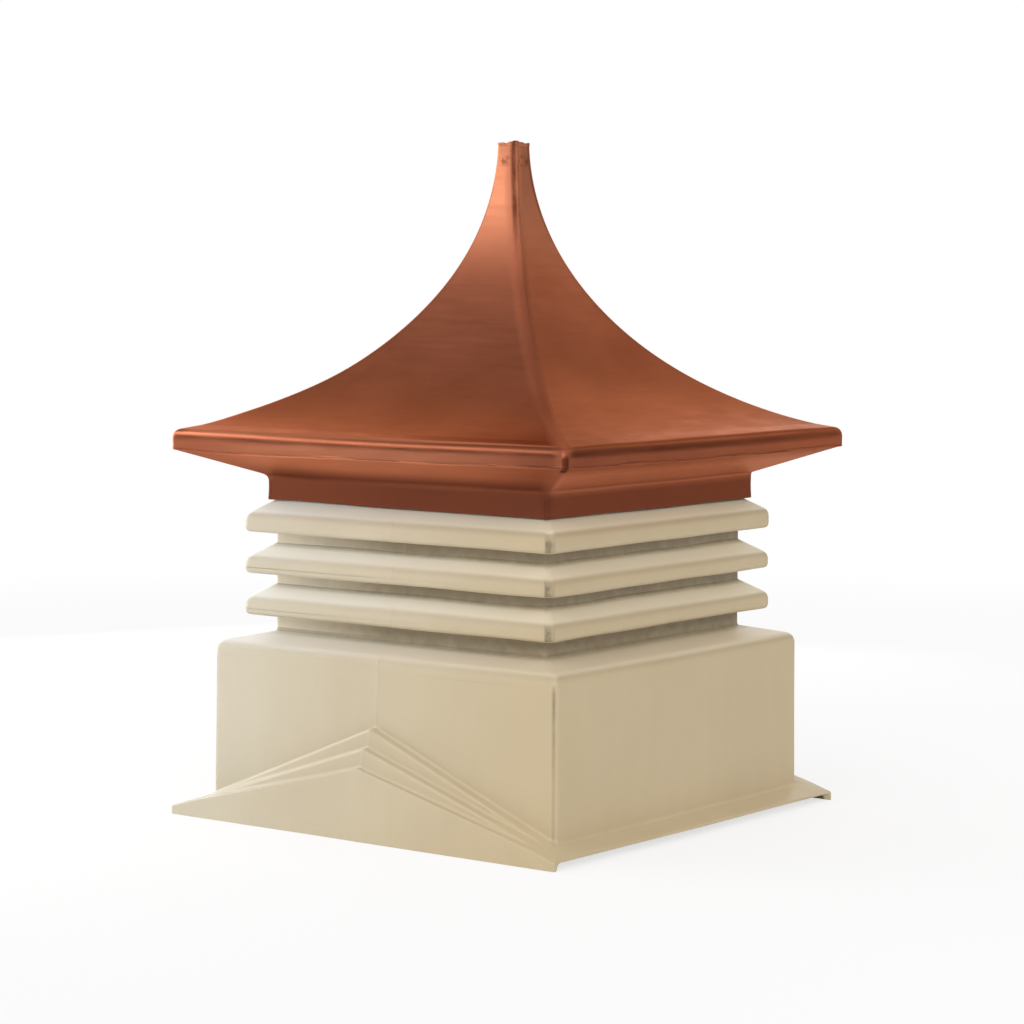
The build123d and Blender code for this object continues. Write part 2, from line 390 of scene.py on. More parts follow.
class Weave:
    """The nodes of one material or world, wired by short calls.

    A value is a node's output or a plain number.
    """

    def __init__(self, owner: bpy.types.ID, coordinates: str = "Object") -> None:
        """Starts with an empty node tree.

        Args:
            owner: The material or world that is to have the nodes.
            coordinates: Name of the coordinates that give the place.
        """
        owner.use_nodes = True
        self.owner = owner
        self.tree = owner.node_tree
        self.tree.nodes.clear()
        self.place = self.tree.nodes.new("ShaderNodeTexCoord").outputs[coordinates]

    @classmethod
    def named(cls, name: str) -> Weave:
        """Starts a new material of this name."""
        return cls(bpy.data.materials.new(name))

    def link(self, source: Value, target: bpy.types.NodeSocket) -> None:
        """Joins an output to an input, or sets the input to a number."""
        if isinstance(source, (int, float)):
            target.default_value = source
        else:
            self.tree.links.new(source, target)

    def parts(self, vector: bpy.types.NodeSocket) -> tuple[Value, Value, Value]:
        """Takes a vector apart.

        Args:
            vector: Output with the vector.

        Returns:
            Its X, Y and Z.
        """
        node = self.tree.nodes.new("ShaderNodeSeparateXYZ")
        self.link(vector, node.inputs["Vector"])
        return node.outputs["X"], node.outputs["Y"], node.outputs["Z"]

    def facing_up(self) -> Value:
        """How far the surface faces up: the Z of its normal."""
        return self.parts(self.tree.nodes.new("ShaderNodeNewGeometry").outputs["Normal"])[2]

    @functools.cached_property
    def lengths(self) -> dict[Measure, Value]:
        """The output of each measure, in metres.

        Returns:
            The outputs, apart from RING's, which is added by the finish that uses it.
        """
        x, y, z = self.parts(self.place)
        wide, deep = self.math("ABSOLUTE", x), self.math("ABSOLUTE", y)
        return {X: x, Y: y, Z: z, OUT: self.most(wide, deep), PAST: self.math("SUBTRACT", deep, wide)}

    def math(self, operation: str, first: Value, second: Value = 0.0) -> Value:
        """Joins two values by an arithmetic operation.

        Args:
            operation: The operation, as the node names it.
            first: Its first value.
            second: Its second value, where it takes one.

        Returns:
            The result.
        """
        node = self.tree.nodes.new("ShaderNodeMath")
        node.operation = operation
        self.link(first, node.inputs[0])
        self.link(second, node.inputs[1])
        return node.outputs["Value"]

    def sum(self, *values: Value) -> Value:
        """The sum of any number of values."""
        return functools.reduce(functools.partial(self.math, "ADD"), values)

    def product(self, *values: Value) -> Value:
        """The product of any number of values."""
        return functools.reduce(functools.partial(self.math, "MULTIPLY"), values)

    def most(self, *values: Value) -> Value:
        """The largest of any number of values."""
        return functools.reduce(functools.partial(self.math, "MAXIMUM"), values)

    def noise(self, pattern: Pattern) -> Value:
        """Lays a pattern on.

        Args:
            pattern: The pattern.

        Returns:
            Its plain values, about 0.5 on average.
        """
        mapping = self.tree.nodes.new("ShaderNodeMapping")
        mapping.inputs["Scale"].default_value = pattern.stretch
        self.link(self.place, mapping.inputs["Vector"])
        noise = self.tree.nodes.new("ShaderNodeTexNoise")
        noise.inputs["Scale"].default_value = pattern.scale
        noise.inputs["Detail"].default_value = pattern.detail
        noise.inputs["Roughness"].default_value = pattern.rough
        self.link(mapping.outputs["Vector"], noise.inputs["Vector"])
        return noise.outputs["Fac"]

    def mottle(self, pattern: Pattern) -> Value:
        """Lays a pattern on, in the values that it shows."""
        return self.span(self.noise(pattern), *pattern.counts, *pattern.shows)

    def toward(self, direction: tuple[float, float, float]) -> Value:
        """How far the place lies in a direction: their dot product.

        Args:
            direction: The direction, of length 1.

        Returns:
            The distance.
        """
        node = self.tree.nodes.new("ShaderNodeVectorMath")
        node.operation = "DOT_PRODUCT"
        node.inputs[1].default_value = direction
        self.link(self.place, node.inputs[0])
        return node.outputs["Value"]

    def step(self, value: Value, low: float, high: float) -> Value:
        """Smooth step from 0 at low to 1 at high.

        Args:
            value: Where to take the step.
            low: Value at which the step starts.
            high: Value at which it ends.

        Returns:
            The step.
        """
        node = self.tree.nodes.new("ShaderNodeMapRange")
        node.interpolation_type = "SMOOTHSTEP"
        node.inputs["From Min"].default_value, node.inputs["From Max"].default_value = low, high
        self.link(value, node.inputs["Value"])
        return node.outputs["Result"]

    def span(self, value: Value, low: float, high: float, to_low: float, to_high: float) -> Value:
        """Maps a value from one range to another, held at its ends.

        Args:
            value: The value.
            low: Start of its range.
            high: End of its range.
            to_low: What the start becomes.
            to_high: What the end becomes.

        Returns:
            The mapped value.
        """
        node = self.tree.nodes.new("ShaderNodeMapRange")
        for name, number in zip(("From Min", "From Max", "To Min", "To Max"), (low, high, to_low, to_high)):
            node.inputs[name].default_value = number
        self.link(value, node.inputs["Value"])
        return node.outputs["Result"]

    def mark(self, *ramps: Ramp) -> Value:
        """Amount of a mark: the product of its ramps."""
        spans = [self.span(self.lengths[r.by], r.low * MM, r.high * MM, r.at_low, r.at_high) for r in ramps]
        return self.product(*spans)

    def blend(self, amount: Value, first: Value, second: Value, how: Mix = Mix.OVER) -> Value:
        """Joins two colours, each an output or three numbers.

        Args:
            amount: Share of the second colour, from 0 to 1.
            first: The colour below.
            second: The colour that is laid on it.
            how: Whether it covers the first colour or multiplies it.

        Returns:
            The joined colour.
        """
        node = self.tree.nodes.new("ShaderNodeMix")
        node.data_type = "RGBA"
        node.blend_type = how.value
        self.link(amount, node.inputs["Factor"])
        for name, colour in (("A", first), ("B", second)):
            socket = next(s for s in node.inputs if s.type == "RGBA" and s.name == name)
            if isinstance(colour, tuple):
                socket.default_value = (*colour, 1.0)
            else:
                self.link(colour, socket)
        return next(s for s in node.outputs if s.type == "RGBA")

    def bump(self, height: Value, distance: float, strength: float) -> Value:
        """Turns a height into a bumped normal.

        Args:
            height: The height, about 0 to 1.
            distance: Length that a height of 1 stands for.
            strength: How much of the bump shows.

        Returns:
            The normal.
        """
        node = self.tree.nodes.new("ShaderNodeBump")
        node.inputs["Distance"].default_value = distance
        node.inputs["Strength"].default_value = strength
        self.link(height, node.inputs["Height"])
        return node.outputs["Normal"]

    def surface(self, colour: Value, roughness: Value, normal: Value, **fixed: object) -> bpy.types.Material:
        """Ends the material in one shader.

        Args:
            colour: Output for the base colour.
            roughness: Output for the roughness.
            normal: Output for the normal.
            **fixed: Other sockets by name, with underscores for spaces.

        Returns:
            The finished material.
        """
        shader = self.tree.nodes.new("ShaderNodeBsdfPrincipled")
        for name, number in fixed.items():
            shader.inputs[name.replace("_", " ")].default_value = number
        self.link(colour, shader.inputs["Base Color"])
        self.link(roughness, shader.inputs["Roughness"])
        self.link(normal, shader.inputs["Normal"])
        out = self.tree.nodes.new("ShaderNodeOutputMaterial")
        self.link(shader.outputs["BSDF"], out.inputs["Surface"])
        return self.owner


@dataclass(frozen=True)
class MouldedPlastic:
    """Satin tan plastic, with painted light on its upper faces and painted shade along its corners and
    recesses.

    The ground runs from dark to light by the sum of three patterns. Faces that look up are painted paler
    as painted light, the bends beside them get painted shade, and a painted shade tint deepens from
    left to right, leaving the left side paler as painted light. The top ring's upward faces are made
    cooler against the copper's reflected colour. How far a face looks up runs from 0, upright, to 1,
    level: bent_faces gives where the bends start, are full, begin to leave and are gone.
    """

    name: str = "tan_moulded_plastic"
    light: Colour = (0.53, 0.475, 0.36)
    dark: Colour = (0.475, 0.417, 0.305)
    # Painted light: the paler colour laid on faces that look up.
    pale: Colour = (0.75, 0.74, 0.69)
    # Painted shade: a warm darker tint that deepens towards the right, so the left side stays paler as
    # painted light.
    shade_tint: Colour = (0.985, 0.88, 0.70)
    # Painted shade: what the bends beside the upward faces are multiplied by.
    bend_shade: Colour = (0.88, 0.88, 0.87)
    # Painted light correction: makes the top ring's upward faces cooler against the copper's reflected
    # colour.
    bounce_correction: Colour = (1.05, 1.15, 1.16)
    # Painted shade: what the recesses against the neck are multiplied by.
    recess_shade: Colour = (0.42, 0.40, 0.34)
    # Painted shade: the dark colour laid along the upright corners of the louvre noses and the walls.
    corner_shade_colour: Colour = (0.18, 0.135, 0.07)
    refraction: float = 1.7
    ring_foot: float = 288.5 * MM
    ring_spacing: float = 59.5 * MM
    clouds: Pattern = Pattern(5.0, detail=3)
    streaks: Pattern = Pattern(30.0, (1, 1, 0.12), 3)
    grain: Pattern = Pattern(260.0)
    streak_share: float = 0.3
    grain_share: float = 0.25
    level_faces: Range = (0.5, 0.85)
    ledge_top_light: Ramp = Ramp(Z, 200, 240, 0.08, 0.72)
    ring_top_light: Ramp = rise(Z, 270, 280, 0.18)
    bent_faces: tuple[float, float, float, float] = (0.1, 0.45, 0.78, 0.97)
    bends_end_sooner: Ramp = rise(Z, 270, 280, 0.13)
    bends_start: Ramp = rise(Z, 200, 220)
    shade_tint_mark: Mark = (rise(X, -290, 290),)
    top_ring_faces: Range = (0.4, 0.8)
    top_ring: Ramp = rise(Z, 428, 436)
    nose_patches: Pattern = Pattern(150.0, (1, 1, 0.6), 4, 0.6, (0.32, 0.56), (0.55, 1.0))
    # Painted shade: patchy dark marks down the lower part of the louvre noses' right-hand corners.
    nose_corner_shade: Mark = (
        rise(RING, 0.5, 2.5),
        fall(RING, 14, 28),
        rise(OUT, 264, 267),
        rise(Z, 280, 284),
        rise(PAST, -12, 1),
        fall(PAST, 8.5, 11.5),
        rise(X, 0, 20),
    )
    wall_patches: Pattern = Pattern(45.0, (1, 1, 1), 4, 0.65, (0.32, 0.62), (0.6, 1.0))
    # Painted shade: a thin dark line down the corners of the base walls.
    wall_corner_shade: Mark = (
        rise(Z, 22, 36, 0.9),
        Ramp(Z, 120, 200, 0.6, 1.0),
        fall(Z, 226, 240),
        rise(OUT, 296, 300),
        rise(PAST, -3.5, 1),
        fall(PAST, 2, 6.5),
    )
    shade_patches: Pattern = Pattern(60.0, (1, 1, 1), 4, 0.6, shows=(0.6, 1.0))
    # Painted shade: where the slope tops under each louvre and the shoulder's fillet are darkened.
    louvre_shade: Mark = (rise(Z, 280, 290), fall(Z, 446, 450), fall(OUT, 243, 250.5))
    fillet_shade: Mark = (rise(Z, 250, 256), fall(Z, 280, 290), fall(OUT, 243, 259))
    shadier_side: Ramp = Ramp(X, -240, -20, 0.2, 0.8)
    roughness: Pattern = Pattern(18.0, (1, 1, 0.5), 4, shows=(0.42, 0.50))
    skin_grain: Pattern = Pattern(420.0)
    skin_waves: Pattern = Pattern(40.0)
    wave_share: float = 3.0
    skin_depth: float = 0.1 * MM
    skin_strength: float = 0.6

    def corner_shading(self, w: Weave) -> Value:
        """Amount of painted shade along the upright corners: patchy on the louvre noses, a thin line on the
        walls.

        Args:
            w: The material's nodes.

        Returns:
            The amount.
        """
        nose = w.product(w.mark(*self.nose_corner_shade), w.mottle(self.nose_patches))
        wall = w.product(w.mark(*self.wall_corner_shade), w.mottle(self.wall_patches))
        return w.sum(nose, wall)

    def recess_shading(self, w: Weave) -> Value:
        """Amount of painted shade in the recesses against the neck, on the slopes' tops and the shoulder's
        fillet, less towards the left side.
        """
        recess_shade = w.most(w.mark(*self.louvre_shade), w.mark(*self.fillet_shade))
        return w.product(recess_shade, w.mark(self.shadier_side), w.mottle(self.shade_patches))

    def ground(self, w: Weave) -> Value:
        """The mottled tan, with painted light where it faces up and painted shade on the bends and to the
        right.

        Args:
            w: The material's nodes.

        Returns:
            The colour.
        """
        streaks = w.product(w.mottle(self.streaks), self.streak_share)
        grain = w.product(w.mottle(self.grain), self.grain_share)
        tone = w.sum(w.mottle(self.clouds), streaks, grain)
        whole = 1.0 + self.streak_share + self.grain_share
        colour = w.blend(w.span(tone, 0.0, whole, 0.0, 1.0), self.dark, self.light)
        up = w.facing_up()
        # Painted light: faces that look up are painted paler, a little on the foot's ledges, more on the
        # shoulder and most on the louvre rings.
        fade = w.sum(w.mark(self.ledge_top_light), w.mark(self.ring_top_light))
        top_lit = w.product(w.step(up, *self.level_faces), fade)
        colour = w.blend(top_lit, colour, self.pale)
        # Painted shade along the rounded bends beside the upward faces.
        start, full, end, none = self.bent_faces
        leaving = w.span(w.sum(up, w.mark(self.bends_end_sooner)), end, none, 1.0, 0.0)
        bends = w.product(w.step(up, start, full), leaving, w.mark(self.bends_start))
        colour = w.blend(bends, colour, self.bend_shade, Mix.TIMES)
        # Painted light and shade: the tint deepens from left to right, leaving the left side paler as if lit
        # from there.
        colour = w.blend(w.mark(*self.shade_tint_mark), colour, self.shade_tint, Mix.TIMES)
        # Painted light correction: the top ring's upward faces are made cooler to take out the copper's
        # reflected colour.
        bounce_corrected = w.product(w.step(up, *self.top_ring_faces), w.mark(self.top_ring))
        return w.blend(bounce_corrected, colour, self.bounce_correction, Mix.TIMES)

    def make(self) -> bpy.types.Material:
        """Builds the material.

        Returns:
            The finished material.
        """
        w = Weave.named(self.name)
        above_foot = w.math("SUBTRACT", w.lengths[Z], self.ring_foot)
        w.lengths[RING] = w.math("FLOORED_MODULO", above_foot, self.ring_spacing)
        # Painted shade in the recesses against the neck, under each louvre and above the shoulder.
        colour = w.blend(self.recess_shading(w), self.ground(w), self.recess_shade, Mix.TIMES)
        # Painted shade along the upright corners of the louvre noses and the walls.
        colour = w.blend(self.corner_shading(w), colour, self.corner_shade_colour)
        height = w.sum(w.noise(self.skin_grain), w.product(w.noise(self.skin_waves), self.wave_share))
        normal = w.bump(height, self.skin_depth, self.skin_strength)
        return w.surface(colour, w.mottle(self.roughness), normal, IOR=self.refraction)


@dataclass(frozen=True)
class BrushedCopper:
    """Brushed copper finish with level streaks and cloudy patches, and painted shade and painted light by
    place.

    The ground runs from dark to light by the sum of two patterns, and to a painted highlight towards the
    tip. Marks lie on it as a share of the shade and stain colour, or of the painted light colour times a
    factor; the dark ones are painted shade apart from stains round the tip. Seen at a slant its gloss
    takes the edge's colour.
    """

    name: str
    light: Colour
    dark: Colour
    # Painted shade: the dark copper of the shaded places, and the ground of the stains round the tip.
    shade_and_stain: Colour
    # Painted light: the brighter copper laid towards the tip and, times a factor, on the brightened places.
    painted_light: Colour = (0.54, 0.20, 0.108)
    edge: Colour = (0.80, 0.52, 0.42)
    metallic: float = 1.0
    specular: float = 0.5
    roughness: Pattern = Pattern(14.0, (1, 1, 9), 4, 0.6, shows=(0.29, 0.38))
    clouds: Pattern = Pattern(6.0, (1, 1, 1.6), 4)
    streaks: Pattern = Pattern(9.0, (1, 1, 26), 4, 0.6)
    streak_share: float = 0.25
    lightest_tone: float = 1.2
    painted_light_height: Range = (750 * MM, 900 * MM)
    painted_light_share: float = 0.9
    # Painted shade: a dark stripe beside the upper front right hip, and dark eave and collar corners. The tip
    # ring holds stains.
    front_right_stripe: Mark = (rise(X, 0, 4), rise(Z, 800, 860))
    stripe: Mark = (rise(PAST, -4, -2.5), fall(PAST, 3, 8))
    stripe_margin: Mark = (rise(PAST, -11, -8, 0.6), fall(PAST, -2, 0))
    stripe_patches: Pattern = Pattern(55.0, (1, 1, 0.5), 3, 0.6, (0.3, 0.6), (0.55, 0.95))
    eave_corner: Mark = (rise(PAST, -12, -9), fall(PAST, 2, 5), fall(Z, 541, 546), rise(X, 328, 334))
    collar_corner: Mark = (rise(PAST, -8, -3, 0.5), fall(PAST, 3, 8), fall(Z, 474, 490))
    tip_ring: Mark = (rise(Z, 930, 939), fall(Z, 941, 950))
    tip_spots: Pattern = Pattern(90.0, (1, 1, 0.7), counts=(0.4, 0.56), shows=(0.0, 0.7))
    mark_factor: float = 0.62
    # Painted shade: eave_sides, fascia_ends, gable_roll, lower_hips and gable_edge darken the copper towards
    # the shade colour.
    eave_sides: Mark = (
        rise(Z, 522, 528),
        Ramp(Z, 536, 543, 0.45, 1.0),
        fall(Z, 556, 605, 0.72),
        fall(PAST, -25, -5),
    )
    fascia_ends: Mark = (fall(Z, 541, 546), fall(PAST, 30, 150, 0.4))
    gable_roll: Mark = (rise(OUT, 342.5, 344, 0.5), rise(Z, 541, 545), rise(PAST, 0, 5))
    lower_hips: Mark = (rise(PAST, -19, -5), fall(PAST, 1, 15, 0.34), rise(Z, 553, 600), fall(Z, 760, 820))
    gable_edge: Mark = (fall(Z, 565, 625, 0.2), rise(Z, 546, 553), rise(PAST, 0, 5))
    # Painted light on the gable sides' fascia, on the fold above it and on the eave sides' soffit.
    gable_fascia: Mark = (rise(PAST, 30, 250, 0.6), fall(Z, 541, 546))
    gable_fascia_factor: float = 1.2
    gable_fold: Mark = (rise(OUT, 334, 339), fall(OUT, 341, 343), rise(PAST, 5, 25), rise(Z, 544, 546))
    gable_fold_factor: float = 1.45
    eave_soffit: Mark = (rise(Z, 484, 494, 0.8), fall(Z, 512, 526), fall(PAST, -12, 0))
    eave_soffit_factor: float = 1.6
    # Painted shade on the collar under the soffit.
    eave_collar_shade: Mark = (fall(Z, 478, 487, 0.82), fall(PAST, -10, 10))
    gable_collar_shade: Mark = (fall(Z, 484, 508), rise(PAST, -10, 10))
    rougher_hip: Mark = (rise(PAST, -20, -5), fall(PAST, 5, 20, 0.25), rise(X, 0, 4), fall(Y, -4, 0))
    brushing: Pattern = Pattern(12.0, (1, 1, 30), 3)
    tooth: Pattern = Pattern(300.0, (1, 1, 2))
    tooth_share: float = 0.5
    brushing_depth: float = 0.12 * MM
    brushing_strength: float = 0.3

    def shade_and_stain_marks(self, w: Weave) -> Value:
        """Amount of the dark marks.

        The stripe on the upper front right hip, the front right corner of the eave and the collar's corners
        are painted shade; the spots round the tip are stains.

        Args:
            w: The material's nodes.

        Returns:
            The amount.
        """
        stripe = w.most(w.mark(*self.stripe), w.mark(*self.stripe_margin))
        stripe = w.product(stripe, w.mark(*self.front_right_stripe), w.mottle(self.stripe_patches))
        tip = w.product(w.mark(*self.tip_ring), w.mottle(self.tip_spots))
        return w.most(stripe, w.mark(*self.eave_corner), w.mark(*self.collar_corner), tip)

    def light_and_shade(self, w: Weave, colour: Value) -> Value:
        """Lays painted light and painted shade on the finish by place.

        The gable sides' fascia, the fold above it and the eave sides' soffit get painted light. Then the
        strongest of the painted shade marks is laid on, and painted shade on the collar under the soffit.

        Args:
            w: The material's nodes.
            colour: The colour so far.

        Returns:
            The toned colour.
        """
        # Painted light: these places are brightened with the painted light colour times a factor.
        painted_lights = (
            (self.gable_fascia, self.gable_fascia_factor),
            (self.gable_fold, self.gable_fold_factor),
            (self.eave_soffit, self.eave_soffit_factor),
        )
        for mark, factor in painted_lights:
            colour = w.blend(w.mark(*mark), colour, times(self.painted_light, factor))
        # Painted shade: the strongest of these marks darkens the copper.
        painted_shades = (self.eave_sides, self.fascia_ends, self.gable_roll, self.lower_hips, self.gable_edge)
        colour = w.blend(w.most(*(w.mark(*mark) for mark in painted_shades)), colour, self.shade_and_stain)
        # Painted shade on the collar and the soffit's foot, under the eave.
        collar_shade = w.sum(w.mark(*self.eave_collar_shade), w.mark(*self.gable_collar_shade))
        return w.blend(collar_shade, colour, self.shade_and_stain)

    def make(self) -> bpy.types.Material:
        """Builds the material.

        Returns:
            The finished material.
        """
        w = Weave.named(self.name)
        tone = w.sum(w.mottle(self.clouds), w.product(w.mottle(self.streaks), self.streak_share))
        colour = w.blend(w.span(tone, 0.0, self.lightest_tone, 0.0, 1.0), self.dark, self.light)
        # Painted highlight: the copper turns brighter towards the tip.
        lit_top = w.product(w.step(w.lengths[Z], *self.painted_light_height), self.painted_light_share)
        colour = self.light_and_shade(w, w.blend(lit_top, colour, self.painted_light))
        # Painted shade on the hip stripe and the eave and collar corners, and stains round the tip.
        colour = w.blend(self.shade_and_stain_marks(w), colour, times(self.shade_and_stain, self.mark_factor))
        height = w.sum(w.noise(self.brushing), w.product(w.noise(self.tooth), self.tooth_share))
        return w.surface(
            colour,
            w.sum(w.mottle(self.roughness), w.mark(*self.rougher_hip)),
            w.bump(height, self.brushing_depth, self.brushing_strength),
            Metallic=self.metallic,
            Specular_IOR_Level=self.specular,
            Specular_Tint=(*self.edge, 1.0),
        )


# ---- pieces ----
@dataclass
class Maker:
    """Hands a finished grid over as a piece of the model."""

    finishes: dict[Finish, bpy.types.Material]

    def put(
        self,
        name: str,
        grid: np.ndarray,
        finish: Finish,
        nodes: tuple[str, ...],
        poles: bool = False,
    ) -> None:
        """Makes the piece, dresses it and says which nodes it stands for.

        Args:
            name: Name of the piece.
            grid: Its points.
            finish: Its finish.
            nodes: The nodes that it stands for.
            poles: Whether the grid ends in poles.
        """
        piece = skin(name, grid, poles)
        piece.data.materials.append(self.finishes[finish])
        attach(piece, "root")
        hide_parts(*nodes)
        log.info("%s: %d faces, stands for %s", name, len(piece.data.polygons), ", ".join(nodes))


@dataclass
class BaseBox:
    """The base box with its stepped gable aprons and eave flanges, one thin moulding.

    From the wall out to the foot, the gable sides drop from one pitch to the next at each ledge. The
    eave sides fall in one flange, which meets the aprons in a small facet.
    """

    plan: Plan
    wall: float = 5 * MM
    wall_rows: tuple[int, int] = (14, 8)
    corner: float = 9.5 * MM
    foot_corner: float = 3 * MM
    draft: float = 1.2 * MM
    join: float = 14 * MM
    below_top: float = 5 * MM
    pitches: tuple[float, float, float] = (5 / 12, 4 / 12, 3 / 12)
    ledges: tuple[float, float] = (15 * MM, 29 * MM)
    ledge_half: float = 0.75 * MM
    apron_inset: float = 4.5 * MM
    apron_end_fall: float = 0.31
    corner_lift: float = 3.5 * MM
    flange_fall: float = 0.26
    flange_inner_fall: float = 0.22
    flange_rise_start: float = 240 * MM
    facet_fall: float = 0.367
    facet_rise: float = 0.028
    foot_shift: float = -2.4 * MM
    taper: float = 7 * MM
    tab_start: float = 331 * MM
    tab_end: float = 341 * MM
    uneven: Unevenness = Unevenness(0.5 * MM, 0.42, 0.4, bead=0.45 * MM)

    def __post_init__(self) -> None:
        """Reads the driving sizes from the frame."""
        self.half = -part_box("front_base_wall")[0].y
        self.foot = -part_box("front_apron")[0].y
        self.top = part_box("front_base_wall")[1].z - self.below_top
        low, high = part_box("right_flange")
        self.crease = high.z
        self.clear = low.z
        self.apexes = [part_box("front_apron")[1].z - (self.pitches[0] - p) * self.half for p in self.pitches]

    def out(self, half: Size) -> Size:
        """How far a half width lies from the wall, 0, to the foot, 1."""
        return (half - self.half) / (self.foot - self.half)

    def radius(self, half: float) -> float:
        """Corner radius of the plan at this half width, from the wall's to the foot's."""
        return self.corner + (self.foot_corner - self.corner) * np.clip(self.out(half), 0.0, 1.0)

    def gable_line(self, half: float, apex: float) -> np.ndarray:
        """Height of a pitch line on the gable sides.

        It falls in a straight line from the apex to the wall's corner, and more steeply beyond it.

        Args:
            half: Half width at which the line runs.
            apex: Its height over the middle of the side.

        Returns:
            The height at each column.
        """
        x = np.abs(self.plan.at(half, self.radius(half))[:, 0])
        meet = self.crease + self.corner_lift * (1.0 - self.out(half))
        beyond = self.apron_end_fall * (self.half - x)
        return meet + np.where(x < self.half, (apex - meet) * (1 - x / self.half), beyond)

    def eave_line(self, half: float) -> np.ndarray:
        """Height of the flange's top on the eave sides.

        It is the lower of two slopes: the flange, which rises by a square towards the wall's corners,
        and the facet, which runs from the wall's corner down to the foot.

        Args:
            half: Half width at which the line runs.

        Returns:
            The height at each column.
        """
        s = np.abs(self.plan.at(half, self.radius(half))[:, 1])
        rise_start = self.flange_rise_start
        lift = np.clip((s - rise_start) / (self.half - rise_start), 0.0, 1.0) ** 2
        lift = self.corner_lift * lift * (1 - self.out(half))
        flange = self.crease - self.flange_fall * (half - self.half) + lift
        corner = self.crease + self.corner_lift
        facet = corner - self.facet_fall * (half - self.half) + self.facet_rise * (self.half - s)
        return np.minimum(flange, facet)

    def foot_edge(self) -> np.ndarray:
        """Height of the flange's lower edge: level, and a quarter ellipse down to the floor at each end.

        Returns:
            The height at each column.
        """
        s = np.abs(self.plan.at(self.foot, self.foot_corner)[:, 1])
        t = np.clip((s - self.tab_start) / (self.tab_end - self.tab_start), 0.0, 1.0)
        return self.clear * np.sqrt(1.0 - t * t)

    def section(self) -> tuple[Section, int, int]:
        """Lays the rows from the wall's top down to the foot outside and up again inside.

        Returns:
            The section and the numbers of the two rows where the foot joins the wall.
        """
        eave = self.plan.eave
        section = Section(self.plan)

        def add(gable: tuple[float, Size], side: tuple[float, Size], reach: float = 0.0) -> None:
            """Adds a row that runs from its gable shape to its eave shape round each corner.

            Args:
                gable: Half width and height on the gable sides.
                side: Half width and height on the eave sides.
                reach: The row's reach.
            """
            half = gable[0] + (side[0] - gable[0]) * eave
            height = gable[1] + (side[1] - gable[1]) * eave
            section.row(half, height, self.radius((gable[0] + side[0]) / 2), reach)

        def under(half: float) -> tuple[float, float]:
            """Half width and height of the flange's inner face."""
            return half, self.clear + (self.foot - half) * self.flange_inner_fall

        def inner_line(half: float, apex: float) -> np.ndarray:
            """Height of a pitch line on the apron's inner face."""
            return self.gable_line(half, apex) - self.apron_inset

        w, f, d, inset = self.half, self.foot, self.ledge_half, self.apron_inset
        first, second, third = self.apexes
        one, two = w + self.ledges[0], w + self.ledges[1]
        join = self.gable_line(w, first) + (self.eave_line(w) - self.gable_line(w, first)) * eave + self.join
        outer_rows, inner_rows = self.wall_rows
        for share in np.linspace(1.0, 0.0, outer_rows):
            section.row(w - self.draft * share, join + (self.top - join) * share, self.corner)
        first_join = len(section.rows) - 1
        # Half width, pitch line, how far below that line in millimetres, and reach in millimetres.
        outside = (
            (w, first, 0.0, 4.5),
            (one - d, first, 0.3, 3.6),
            (one + d, second, 0.1, 4.0),
            (two - d, second, 0.5, 3.6),
            (two + d, third, 0.3, 4.0),
            (f, third, 0.6, 2.5),
        )
        for half, apex, dip, reach in outside:
            add((half, self.gable_line(half, apex) - dip * MM), (half, self.eave_line(half)), reach * MM)
        edge = self.foot_edge()
        add((f, 0.0), (f, edge), 0.7 * MM)
        add((f - inset, 0.0), (f - 1.5 * MM, edge + 0.3 * MM), 0.7 * MM)
        add((f - inset - 0.2 * MM, inner_line(f, third)), (f - 6 * MM, edge + 1.2 * MM))
        for ledge, upper, lower in ((two, second, third), (one, first, second)):
            add((ledge - inset + d, inner_line(ledge, lower)), under(ledge))
            add((ledge - inset - d, inner_line(ledge, upper)), under(ledge - 2 * MM))
        add((w - self.wall + d, inner_line(w, first)), under(w - 3 * MM))
        last_join = len(section.rows)
        for share in np.linspace(0.0, 1.0, inner_rows):
            half = w - self.wall - self.draft * share
            section.row(half, join + (self.top - join) * share, self.corner - self.wall / 2)
        return section, first_join, last_join

    def build(self, maker: Maker) -> None:
        """Builds the walls and the stepped foot, which meet on the flat of the wall.

        The foot lies a little towards the front left, and its front right end is drawn in by the taper.

        Args:
            maker: Takes the finished pieces.
        """
        section, first_join, last_join = self.section()
        grid, first = section.soften()
        out = np.clip(self.out(np.abs(grid[..., :2]).max(axis=2)), 0.0, 1.0)
        grid[..., :2] += (self.foot_shift * out)[..., None]
        front, right = smooth(-grid[..., 1], 0.0, self.foot), smooth(grid[..., 0], 0.0, self.foot)
        grid[..., 0] -= self.taper * out * front * right
        grid = self.uneven.lay_on(grid)
        grid[..., 2] = np.maximum(grid[..., 2], 0.0)
        start, end = first[first_join], first[last_join]
        walls = np.concatenate([grid[: start + 1], grid[end:]])
        nodes = nodes_of("apron", ("front", "back")) + nodes_of("flange", ("right", "left"))
        maker.put("stepped_foot", grid[start : end + 1], Finish.TAN, nodes)
        maker.put("base_walls", walls, Finish.TAN, nodes_of("base_wall"))


